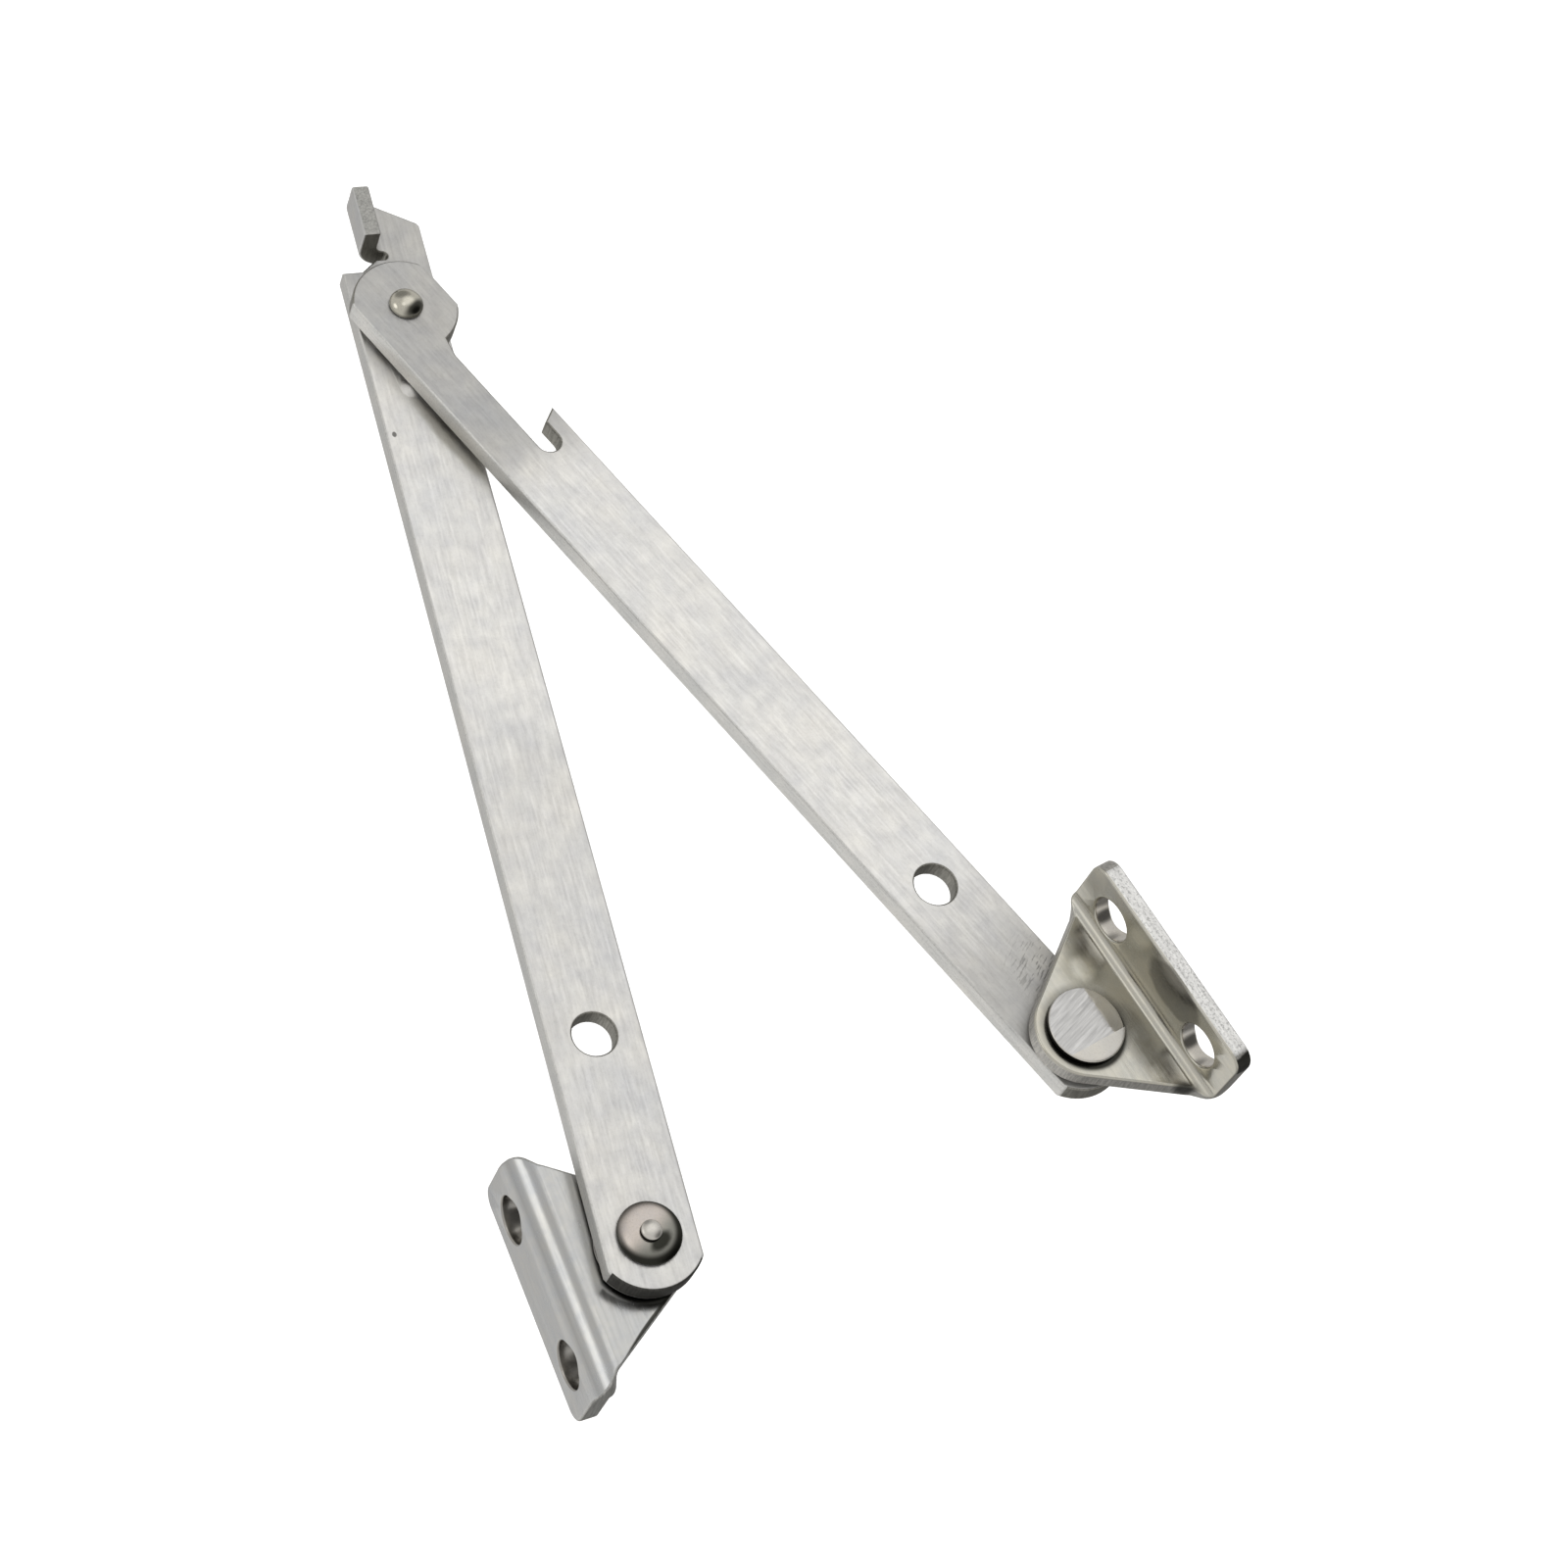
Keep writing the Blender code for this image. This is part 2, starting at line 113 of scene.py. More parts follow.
SCREW_HOLE_HALF_SPACING = 0.0095
SCREW_HOLE_DROP = 0.0065
GAP = 0.0002
WASHER_THICK = 0.0003
SPACING = GAP + WASHER_THICK + GAP
HEAD_RADIUS = 0.005
HEAD_THICK = 0.0008
HEAD_EDGE = HEAD_THICK * 0.22
SHANK_RADIUS = 0.0024
BORE_RADIUS = 0.0027
TENON_RADIUS = 0.00095
CUP_RADIUS = 0.004
CUP_BORE_RADIUS = 0.00115
CUP_WALL = 0.0002
CUP_RIM_BREAK = 0.0001
CUP_CROWN = 0.0008
NUB_RADIUS = 0.0013
NUB_HEIGHT = 0.0007
NUB_WALL_SHARE = 0.3
DOME_RADIUS = 0.00225
DOME_HEIGHT = 0.0012
ELBOW_SHANK_RADIUS = 0.0016
ELBOW_BORE_RADIUS = 0.0018
ELBOW_HEAD_RADIUS = 0.004
ELBOW_HEAD_EDGE = HEAD_THICK * 0.3
PIVOT_WASHER_RADIUS = 0.006
ELBOW_WASHER_RADIUS = 0.0055

# The upper rivet's head is ground on a slant past these lines. Its x axis points at
# the flange and its y axis runs along the flange.
GROUND_SIDE = 0.0025
GROUND_SIDE_SLOPE = math.radians(15)
LOW_SIDE = -0.0025
LOW_SIDE_SLOPE = math.radians(4)
GROUND_STEP = 0.0001

# Mesh fineness
EDGE_BREAK = 0.00035
BRACKET_EDGE_BREAK = 0.0003
RIM_STEPS = 4
SLICE_SNAP = 0.00001
BEND_STEPS = 20
ARC_STEP = math.radians(4)
TURN_STEPS = 120
NUB_STEPS = 14
CUP_STEPS = 36
DOME_STEPS = 18
PIP_BANDS = 6
HEAD_RING_SHARES = (0.2, 0.4, 0.6, 0.8, 0.9)
MERGE_DISTANCE = 1e-6
SHARP_ANGLE = math.radians(40)

QUARTER_TURN = math.radians(90)
HALF_TURN = math.radians(180)

# The viewpoint in the row frame: its place in metres, its backward and upward directions
CAMERA_PLACE = Vector((-0.1420, -0.1170, 0.4210))
CAMERA_BACK = Vector((-0.3994, -0.3473, 0.8485))
CAMERA_UP = Vector((0.2277, 0.8589, 0.4587))
CAMERA_LENS = 87.98
FLOOR_DROP = 0.12


# ---------------------------------------------------------------- shader nodes

def node(tree, kind, inputs, **settings):
    """Adds a shader node. An input may be a value or the socket that feeds it."""
    made = tree.nodes.new("ShaderNode" + kind)
    for key, value in settings.items():
        setattr(made, key, value)
    for key, value in inputs.items():
        if isinstance(value, bpy.types.NodeSocket):
            tree.links.new(value, made.inputs[key])
        else:
            made.inputs[key].default_value = value
    return made


def math_node(tree, operation, first, second=0.0):
    return node(tree, "Math", {0: first, 1: second}, operation=operation).outputs[0]


def spread(tree, value, low, high, from_low=0.0, from_high=1.0, smooth=False):
    """Maps a value from one range onto another, clamped."""
    kind = "SMOOTHSTEP" if smooth else "LINEAR"
    made = node(tree, "MapRange", {
        "Value": value, "From Min": from_low, "From Max": from_high,
        "To Min": low, "To Max": high}, interpolation_type=kind)
    return made.outputs["Result"]


def mix_colour(tree, factor, first, second, blend="MIX"):
    made = tree.nodes.new("ShaderNodeMix")
    made.data_type = "RGBA"
    made.blend_type = blend
    for index, value in ((0, factor), (6, first), (7, second)):
        if isinstance(value, bpy.types.NodeSocket):
            tree.links.new(value, made.inputs[index])
        else:
            made.inputs[index].default_value = value
    return made.outputs[2]


def noise(tree, place, size, turn=0.0, detail=3.0, rough=0.6):
    """Noise of a grain size along each axis in metres, turned about Z."""
    if not isinstance(size, tuple):
        size = (size, size, size)
    mapped = node(tree, "Mapping", {
        "Vector": place, "Scale": size, "Rotation": (0, 0, turn)}, vector_type="TEXTURE")
    made = node(tree, "TexNoise", {
        "Vector": mapped.outputs[0], "Scale": 1.0, "Detail": detail, "Roughness": rough})
    return made.outputs["Fac"]


def axis_distance(tree, place, centre):
    """Distance in plan from a line along Z through a point."""
    flat = node(tree, "VectorMath", {
        0: place, 1: (1, 1, 0)}, operation="MULTIPLY").outputs[0]
    away = node(tree, "VectorMath", {
        0: flat, 1: (centre[0], centre[1], 0)}, operation="DISTANCE")
    return away.outputs["Value"]


class Steel:
    """One steel surface, put together from layers of grain, stain, wear and painted light and
    shade.
    """

    def __init__(self, name, colour, roughness):
        self.material = bpy.data.materials.new(name)
        self.material.use_nodes = True
        self.tree = self.material.node_tree
        self.shader = self.tree.nodes["Principled BSDF"]
        self.shader.inputs["Metallic"].default_value = 1.0
        self.place = node(self.tree, "TexCoord", {}).outputs["Object"]
        self.colour = (*colour, 1)
        self.roughness = roughness
        self.height = 0.0

    def tint(self, factor, colour):
        self.colour = mix_colour(self.tree, factor, self.colour, (*colour, 1))

    def darken(self, factor, amount):
        """Multiplies the colour towards a share of itself where factor is high."""
        grey = (1 - amount, 1 - amount, 1 - amount, 1)
        self.colour = mix_colour(self.tree, factor, self.colour, grey, "MULTIPLY")

    def roughen(self, factor, amount):
        change = math_node(self.tree, "MULTIPLY", factor, amount)
        self.roughness = math_node(self.tree, "ADD", change, self.roughness)

    def raise_by(self, factor, metres):
        change = math_node(self.tree, "MULTIPLY", factor, metres)
        self.height = math_node(self.tree, "ADD", change, self.height)

    def brushing(self, along, across, depth, contrast, turn=0.0):
        """Fine lines, their grain length and width given in metres."""
        tree = self.tree
        lines = noise(
            tree, self.place, (along, across, across), turn, detail=4.0, rough=0.65)
        marks = spread(tree, lines, 0, 1, 0.35, 0.65)
        self.darken(marks, contrast)
        self.roughen(marks, 0.08)
        self.raise_by(lines, depth)

    def mottling(self, size, warm, cool, amount):
        """Broad clouds of slightly warmer and cooler metal."""
        clouds = noise(self.tree, self.place, size)
        level = spread(self.tree, clouds, 0, 1, 0.3, 0.7)
        cast = mix_colour(self.tree, level, (*warm, 1), (*cool, 1))
        self.colour = mix_colour(self.tree, amount, self.colour, cast, "MULTIPLY")
        self.roughen(level, 0.05)

    def speckle(self, size, amount, depth):
        """Pits of about one size, darker and slightly sunken."""
        pits = noise(self.tree, self.place, size, detail=2.0, rough=0.8)
        spots = spread(self.tree, pits, 1, 0, 0.36, 0.5)
        self.darken(spots, amount)
        self.raise_by(pits, depth)

    def waves(self, size, depth):
        """Low dents left by pressing and polishing."""
        dents = noise(self.tree, self.place, size, detail=1.0, rough=0.4)
        self.raise_by(dents, depth)

    def stain_and_painted_light(self, centre, size, soft, amount, colour, turn=0.0, ragged=0.35):
        """A tinted ellipsoid about a point of the piece, used for stains and for painted
        shade, shadows, highlights and reflections.

        size holds its radii, soft is how wide its edge is and amount how much it covers.
        """
        tree = self.tree
        inside = node(tree, "Mapping", {
            "Vector": self.place, "Location": centre, "Scale": size,
            "Rotation": (0, 0, turn)}, vector_type="TEXTURE").outputs[0]
        reach = node(tree, "VectorMath", {0: inside}, operation="LENGTH").outputs["Value"]
        wobble = noise(tree, self.place, max(size) * 0.6, detail=2.0)
        wobble = math_node(tree, "MULTIPLY", wobble, ragged)
        reach = math_node(tree, "ADD", reach, wobble)
        edge = 1 + ragged / 2
        cover = spread(tree, reach, amount, 0, edge - soft, edge + soft, smooth=True)
        self.tint(cover, colour)

    def scratches(self, centre, near, far):
        """Short scratches in a round patch that fades out between two radii."""
        away = axis_distance(self.tree, self.place, centre)
        patch = spread(self.tree, away, 1, 0, near, far)
        grain = (0.00035, 0.0022, 0.0022)
        lines = noise(self.tree, self.place, grain, math.radians(20), detail=2.0)
        marks = spread(self.tree, lines, 0, 1, 0.56, 0.62)
        marks = math_node(self.tree, "MULTIPLY", marks, patch)
        self.darken(marks, 0.45)
        self.raise_by(marks, -0.00001)

    def finish(self):
        """Joins the layers to the shader."""
        tree, shader = self.tree, self.shader
        if isinstance(self.colour, bpy.types.NodeSocket):
            tree.links.new(self.colour, shader.inputs["Base Color"])
        if isinstance(self.roughness, bpy.types.NodeSocket):
            low, high = 0.05, 0.9
            safe = spread(tree, self.roughness, low, high, low, high)
            tree.links.new(safe, shader.inputs["Roughness"])
        if isinstance(self.height, bpy.types.NodeSocket):
            bump = node(tree, "Bump", {
                "Height": self.height, "Distance": 1.0, "Strength": 1.0})
            tree.links.new(bump.outputs["Normal"], shader.inputs["Normal"])
        return self.material


WARM = (1.0, 0.985, 0.955)
COOL = (0.955, 0.965, 0.985)
BLACK = (0.03, 0.03, 0.025)
SHADED_SIDE = Vector((0.47, -0.88))    # the side in plan that is painted darker, as painted shade
CROSSWISE = math.radians(28)        # the direction in plan across it


def arm_face(name, dull_and_shaded_spans, stains_and_painted_light, scuff=None):
    """Satin strip, brushed along x, with spans that are rougher and darkened by painted
    shade, as (from x, to x, how dark).

    The list of tinted patches, stains and painted shade, holds settings for the Steel method
    that tints an ellipsoid. scuff is the middle of a scratched patch.
    """
    steel = Steel(name, (0.82, 0.812, 0.80), 0.28)
    steel.mottling(size=0.012, warm=WARM, cool=COOL, amount=0.9)
    steel.mottling(size=0.003, warm=(1.0, 1.0, 0.98), cool=(0.93, 0.93, 0.935), amount=0.8)
    steel.brushing(along=0.012, across=0.0003, depth=0.0000025, contrast=0.035)
    steel.brushing(along=0.003, across=0.0006, depth=0.0000025, contrast=0.035)
    steel.speckle(size=0.0005, amount=0.05, depth=0.000003)
    along = node(steel.tree, "SeparateXYZ", {0: steel.place}).outputs["X"]
    for start, end, amount in dull_and_shaded_spans:
        # Rougher, and darker by painted shade
        dull_and_shade = spread(steel.tree, along, 0, 1, start, end, smooth=True)
        steel.roughen(dull_and_shade, amount / 2)
        steel.darken(dull_and_shade, amount)
    for stain_and_painted_light in stains_and_painted_light:
        steel.stain_and_painted_light(**stain_and_painted_light)
    if scuff:
        steel.scratches(scuff, near=0.0015, far=0.006)
    return steel.finish()


def rolled_edge():
    """Rounded mill edge of the strip: bright, with fine pits."""
    steel = Steel("rolled_edge_steel", (0.74, 0.735, 0.72), 0.34)
    steel.mottling(size=0.006, warm=WARM, cool=(0.86, 0.87, 0.87), amount=0.9)
    steel.brushing(along=0.008, across=0.0003, depth=0.000004, contrast=0.14)
    steel.speckle(size=0.0003, amount=0.16, depth=0.000006)
    return steel.finish()


def sheared_edge(name, colour, stains_and_painted_light=()):
    """Punched wall: upright drag lines, darker than the faces."""
    steel = Steel(name, colour, 0.4)
    lines = noise(steel.tree, steel.place, (0.00025, 0.00025, 0.003))
    steel.darken(spread(steel.tree, lines, 0, 1, 0.35, 0.65), 0.35)
    steel.raise_by(lines, 0.00001)
    steel.speckle(size=0.0003, amount=0.2, depth=0.000006)
    for stain_and_painted_light in stains_and_painted_light:
        steel.stain_and_painted_light(**stain_and_painted_light)
    return steel.finish()


def flange_edge():
    """Free edge of a bracket's flange, ground bright over dark pits."""
    steel = Steel("free_edge_steel", (0.84, 0.835, 0.82), 0.36)
    steel.brushing(along=0.004, across=0.0004, depth=0.000006, contrast=0.2)
    steel.speckle(size=0.0004, amount=0.4, depth=0.00002)
    return steel.finish()


def bracket_face(name, colour, dent, grime_and_shade, stains_and_painted_light):
    """Pressed face with low dents, and a darker ring round the rivet's head, partly grime and
    partly painted contact shade.
    """
    steel = Steel(name, colour, 0.13)
    steel.mottling(size=0.006, warm=WARM, cool=COOL, amount=0.9)
    for stain_and_painted_light in stains_and_painted_light:
        steel.stain_and_painted_light(**stain_and_painted_light)
    steel.brushing(along=0.01, across=0.0004, depth=0.0000002, contrast=0.05)
    steel.mottling(size=0.0015, warm=(1.0, 0.99, 0.95), cool=(0.93, 0.94, 0.94), amount=0.7)
    steel.waves(size=0.005, depth=dent)
    away = axis_distance(steel.tree, steel.place, (0, 0))
    reach = HEAD_RADIUS + 0.0014
    # Darker ring round the rivet's head: grime and painted contact shade
    steel.darken(spread(steel.tree, away, 1, 0, HEAD_RADIUS, reach, smooth=True), grime_and_shade)
    return steel.finish()


def turned_steel(name, colour, roughness, steep_shade=None, stains_and_painted_light=()):
    """Rivets and washers. A colour given for the steep sides paints shade on them."""
    steel = Steel(name, colour, roughness)
    steel.mottling(size=0.003, warm=WARM, cool=COOL, amount=0.9)
    steel.speckle(size=0.00025, amount=0.08, depth=0.000001)
    steel.waves(size=0.0022, depth=0.00001)
    for stain_and_painted_light in stains_and_painted_light:
        steel.stain_and_painted_light(**stain_and_painted_light)
    # Painted shade: the steep sides tinted with the given colour
    if steep_shade:
        facing = node(steel.tree, "NewGeometry", {}).outputs["True Normal"]
        upward = node(steel.tree, "SeparateXYZ", {0: facing}).outputs["Z"]
        steep = math_node(steel.tree, "ABSOLUTE", upward)
        steel.tint(spread(steel.tree, steep, 1, 0, 0.15, 0.45), steep_shade)
    return steel.finish()


def domed_face():
    """Domed washer, darker on one side by painted shade, with a black ring of painted shade
    round its rim and a black painted shadow beside the nub.
    """
    steel = Steel("cup_steel", (0.50, 0.455, 0.42), 0.2)
    steel.mottling(size=0.002, warm=WARM, cool=COOL, amount=0.9)
    steel.speckle(size=0.00025, amount=0.08, depth=0.000001)
    down = node(steel.tree, "VectorMath", {
        0: steel.place, 1: (*SHADED_SIDE, 0)}, operation="DOT_PRODUCT").outputs["Value"]
    # Painted shade: darker towards the side away from the light
    low = spread(steel.tree, down, 0, 0.85, -0.0012, 0.0016, smooth=True)
    steel.tint(low, (0.17, 0.175, 0.155))
    # Black ring of painted shade round the rim
    away = axis_distance(steel.tree, steel.place, SHADED_SIDE * -0.0004)
    steel.tint(spread(steel.tree, away, 0, 1, 0.0030, 0.0038, smooth=True), BLACK)
    # Black painted shadow of the nub
    steel.stain_and_painted_light(centre=(*SHADED_SIDE * 0.0017, CUP_CROWN), size=(0.0016, 0.0009, 0.002),
                soft=0.35, amount=1.0, colour=BLACK, turn=CROSSWISE)
    return steel.finish()


def ground_head():
    """Flat of a rivet head ground on a belt."""
    steel = Steel("ground_head_steel", (0.66, 0.655, 0.65), 0.3)
    belt = math.radians(16)
    steel.brushing(along=0.006, across=0.00035, depth=0.000009, contrast=0.26, turn=belt)
    steel.brushing(along=0.002, across=0.00015, depth=0.000003, contrast=0.10, turn=belt)
    return steel.finish()


# ---------------------------------------------------------------- mesh building

def arc(centre, radius, start, end):
    """Plan points on an arc from one angle to another, ends included."""
    steps = max(2, round(abs(end - start) / ARC_STEP))
    points = []
    for i in range(steps + 1):
        angle = start + (end - start) * i / steps
        x = centre[0] + radius * math.cos(angle)
        y = centre[1] + radius * math.sin(angle)
        points.append((x, y))
    return points


def ring(centre, radius):
    """Plan points of a full circle."""
    return arc(centre, radius, 0, 2 * HALF_TURN)[:-1]


def filled_face(outline, holes):
    """A flat bmesh at z = 0 of an outline with round holes left open."""
    sheet = bmesh.new()
    edges = []
    for loop in [outline] + holes:
        verts = [sheet.verts.new((x, y, 0)) for x, y in loop]
        for first, second in zip(verts, verts[1:] + verts[:1]):
            edges.append(sheet.edges.new((first, second)))
    bmesh.ops.triangle_fill(sheet, use_beauty=True, edges=edges, normal=(0, 0, 1))
    return sheet


def mark_pip(sheet, place):
    """Fills the round gap left at a pip with a disc inside narrow bands."""
    centre = Vector((place[0], place[1], 0))
    reach = PIP_RADIUS * 1.01
    band = PIP_RADIUS * 0.15
    edges = [e for e in sheet.edges if (e.verts[0].co - centre).length < reach]
    disc = bmesh.ops.contextual_create(sheet, geom=edges)["faces"]
    for _ in range(PIP_BANDS):
        bmesh.ops.inset_region(sheet, faces=disc, thickness=band)


def press_pip(sheet, place):
    """Pushes the pip up on both faces of the sheet, with a rounded foot."""
    for vert in sheet.verts:
        away = math.dist(vert.co.xy, place) / PIP_RADIUS
        if away < 1:
            vert.co.z += PIP_HEIGHT * (1 - away * away) ** 1.5


def slice_faces(sheet, faces, point, normal):
    """Cuts the given faces by a plane, so that they can bend there."""
    geometry = set(faces)
    for face in faces:
        geometry.update(face.edges)
        geometry.update(face.verts)
    bmesh.ops.bisect_plane(
        sheet, geom=list(geometry), dist=SLICE_SNAP, plane_co=point, plane_no=normal)


def round_rim(sheet, width):
    """Turns the rim of a flat face at z = 0 down along a quarter round."""
    inner = list(sheet.faces)
    angles = [QUARTER_TURN * step / RIM_STEPS for step in range(RIM_STEPS + 1)]
    bands = []
    for near, far in zip(angles, angles[1:]):
        inset = width * (math.cos(near) - math.cos(far))
        band = bmesh.ops.inset_region(
            sheet, faces=inner, thickness=inset, use_boundary=True, use_even_offset=True)
        bands.append(band["faces"])
    loop = {vert for edge in sheet.edges if edge.is_boundary for vert in edge.verts}
    for vert in loop:
        vert.co.z = -width
    for angle, band in zip(angles[1:], bands):
        loop = {vert for face in band for vert in face.verts} - loop
        for vert in loop:
            vert.co.z = -width * (1 - math.sin(angle))


def thicken(sheet, thickness):
    """Gives a face with its rim lowered a mirrored underside and walls."""
    extruded = bmesh.ops.extrude_face_region(sheet, geom=list(sheet.faces))
    for item in extruded["geom"]:
        if isinstance(item, bmesh.types.BMVert):
            item.co.z = -thickness - item.co.z


def mark_walls(sheet, chooser):
    """Gives each wall face and the rim below it the material index that chooser picks."""
    sheet.normal_update()
    lowest, highest = -0.9, 0.1    # how far down and up a wall's normal may point
    for face in sheet.faces:
        if lowest < face.normal.z < highest:
            face.material_index = chooser(face.calc_center_median())


def fold(vert, depth, start, inner, turned_thickness, full_thickness):
    """Turns a point past a bend line through up to 90 degrees.

    depth is the distance past the line in the flat sheet, and start the height of
    the face inside the bend. Returns how far past the line, and how high above that
    face, the point ends up.
    """
    neutral = inner + full_thickness / 2
    quarter = neutral * QUARTER_TURN
    angle = min(depth, quarter) / neutral
    share = angle / QUARTER_TURN
    thinning = 1 + (turned_thickness / full_thickness - 1) * share
    radius = inner + (start - vert.z) * thinning
    beyond = max(depth - quarter, 0)
    return radius * math.sin(angle), inner - radius * math.cos(angle) + beyond


def add_piece(cad_node, body, sheet, materials, location, rotation):
    """Makes the shown piece that stands for a CAD node and rides on its body."""
    bmesh.ops.recalc_face_normals(sheet, faces=sheet.faces)
    if sheet.calc_volume(signed=True) < 0:
        bmesh.ops.reverse_faces(sheet, faces=sheet.faces)
    mesh = bpy.data.meshes.new(cad_node + "_shown")
    sheet.to_mesh(mesh)
    sheet.free()
    for material in materials:
        mesh.materials.append(material)
    mesh.shade_smooth()
    mesh.set_sharp_from_angle(angle=SHARP_ANGLE)
    piece = bpy.data.objects.new(cad_node + "_shown", mesh)
    bpy.context.scene.collection.objects.link(piece)
    piece.matrix_world = Matrix.Translation(location) @ rotation
    weighted = piece.modifiers.new("face weighted normals", "WEIGHTED_NORMAL")
    weighted.keep_sharp = True
    weighted.weight = 100
    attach(piece, body)
    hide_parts(cad_node)
    return piece


def turned(profile, steps=TURN_STEPS):
    """A body of revolution about Z from (radius, height) points."""
    body = bmesh.new()
    verts = [body.verts.new((radius, 0, height)) for radius, height in profile]
    closed = profile[0][0] > 0
    ends = verts[1:] + verts[:1] if closed else verts[1:]
    edges = [body.edges.new(pair) for pair in zip(verts, ends)]
    bmesh.ops.spin(
        body, geom=verts + edges, cent=(0, 0, 0), axis=(0, 0, 1),
        angle=2 * HALF_TURN, steps=steps, use_merge=True)
    bmesh.ops.remove_doubles(body, verts=body.verts, dist=MERGE_DISTANCE)
    return body


def plan_turn(angle):
    return Matrix.Rotation(angle, 4, "Z")


def at(pivot, height):
    return Vector((pivot.x, pivot.y, height))


# ---------------------------------------------------------------- the arms

def arm_end(centre_x, toward):
    """The rounded end of an arm, about a pivot, between its two edges."""
    half = math.asin(ARM_WIDTH / 2 / END_RADIUS)
    return arc((centre_x, 0), END_RADIUS, toward - half, toward + half)


def strip_wall(point):
    """Material index of an arm's wall.

    It is 1 on the mill edge, 2 where punched, 3 at a pivot and 4 on top of the tab.
    """
    if abs(abs(point.y) - ARM_WIDTH / 2) < EDGE_BREAK:
        return 1
    if point.y > ARM_WIDTH / 2:
        return 4
    return 3 if point.x < 0 else 2


def frame_arm(materials):
    """Arm with the upturned stop tab; x runs from the bracket pivot to the elbow."""
    side = ARM_WIDTH / 2
    elbow = ARM_LENGTH
    bend_start = TAB_INNER - TAB_BEND_RADIUS
    neutral = TAB_BEND_RADIUS + ARM_THICK / 2
    quarter = neutral * QUARTER_TURN
    tab_end = bend_start + quarter + TAB_HEIGHT - TAB_BEND_RADIUS
    relief = (TAB_NEAR - RELIEF_NEAR) / 2
    relief_x = elbow + RELIEF_NEAR + relief
    corner = PLATE_CORNER_RADIUS

    outline = arm_end(0, HALF_TURN)
    outline += arc((elbow + PLATE_CORNER - corner, corner - side), corner,
                   -QUARTER_TURN, PLATE_CORNER_END)
    outline += [
        (elbow + TAB_FAR, bend_start),
        (elbow + TAB_FAR, tab_end),
        (elbow + TAB_NEAR, tab_end)]
    outline += arc((relief_x, 0), relief, 0, -HALF_TURN)
    outline += [
        (elbow + RELIEF_NEAR, TAB_INNER + relief / 2),
        (elbow + SHOULDER, side - SHOULDER_DEPTH),
        (elbow + SHOULDER, side)]
    holes = [
        ring((0, 0), BORE_RADIUS),
        ring((SPARE_HOLE_INSET, 0), SPARE_HOLE_RADIUS),
        ring((elbow, 0), ELBOW_BORE_RADIUS)]
    pip = (elbow - PIP_ALONG, PIP_ACROSS)

    sheet = filled_face(outline, holes + [ring(pip, PIP_RADIUS)])
    mark_pip(sheet, pip)
    round_rim(sheet, EDGE_BREAK)
    slice_faces(sheet, list(sheet.faces), (relief_x, 0, 0), (1, 0, 0))
    for step in range(BEND_STEPS + 1):
        y = bend_start + quarter * step / BEND_STEPS
        past = [f for f in sheet.faces if f.calc_center_median().x > relief_x]
        slice_faces(sheet, past, (0, y, 0), (0, 1, 0))
    thicken(sheet, ARM_THICK)
    mark_walls(sheet, strip_wall)
    press_pip(sheet, pip)
    for vert in sheet.verts:
        depth = vert.co.y - bend_start
        if vert.co.x > relief_x and depth > 0:
            across, height = fold(
                vert.co, depth, 0, TAB_BEND_RADIUS, TAB_THICK, ARM_THICK)
            vert.co.y = bend_start + across
            vert.co.z = height

    top = at(PIVOT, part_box("frame_arm")[0].z + ARM_THICK)
    add_piece("frame_arm", "frame_arm", sheet, materials, top, plan_turn(FRAME_ARM_ANGLE))


def sash_arm(materials):
    """Arm with the cut-out and hook; x runs from the elbow to the bracket pivot."""
    side = ARM_WIDTH / 2
    slot_radius = SLOT_WIDTH / 2
    neck_angle = math.asin(NECK_CORNER / END_RADIUS)
    half = math.asin(side / END_RADIUS)
    slot_x = SLOT_END - slot_radius
    hook_wall = NECK_OFFSET + SLOT_WIDTH

    outline = arm_end(0, HALF_TURN)[::-1]
    outline += arc((0, 0), END_RADIUS, half, neck_angle)
    outline.append((NECK_EASE, NECK_OFFSET))
    outline += arc((slot_x, NECK_OFFSET + slot_radius), slot_radius,
                   -QUARTER_TURN, QUARTER_TURN)
    outline += [(HOOK_HEEL, hook_wall), (HOOK_TIP, side)]
    outline += arm_end(ARM_LENGTH, 0)[::-1]
    holes = [
        ring((0, 0), ELBOW_BORE_RADIUS),
        ring((ARM_LENGTH - SPARE_HOLE_INSET, 0), SPARE_HOLE_RADIUS),
        ring((ARM_LENGTH, 0), BORE_RADIUS)]

    sheet = filled_face(outline, holes)
    round_rim(sheet, EDGE_BREAK)
    thicken(sheet, ARM_THICK)
    mark_walls(sheet, strip_wall)
    top = at(ELBOW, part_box("sash_arm")[1].z)
    add_piece("sash_arm", "sash_arm", sheet, materials, top, plan_turn(SASH_ARM_ANGLE))


# ---------------------------------------------------------------- the brackets

def bracket_wall(point, hole_y, free_edge):
    """Material index of a bracket's wall: 1 outside, 2 on the free edge, 3 in a hole."""
    slack = 0.0001
    near_hole = SCREW_HOLE_RADIUS * 1.1
    if point.y > free_edge - slack:
        return 2
    from_hole = math.dist((abs(point.x), point.y), (SCREW_HOLE_HALF_SPACING, hole_y))
    return 3 if from_hole < near_hole else 1


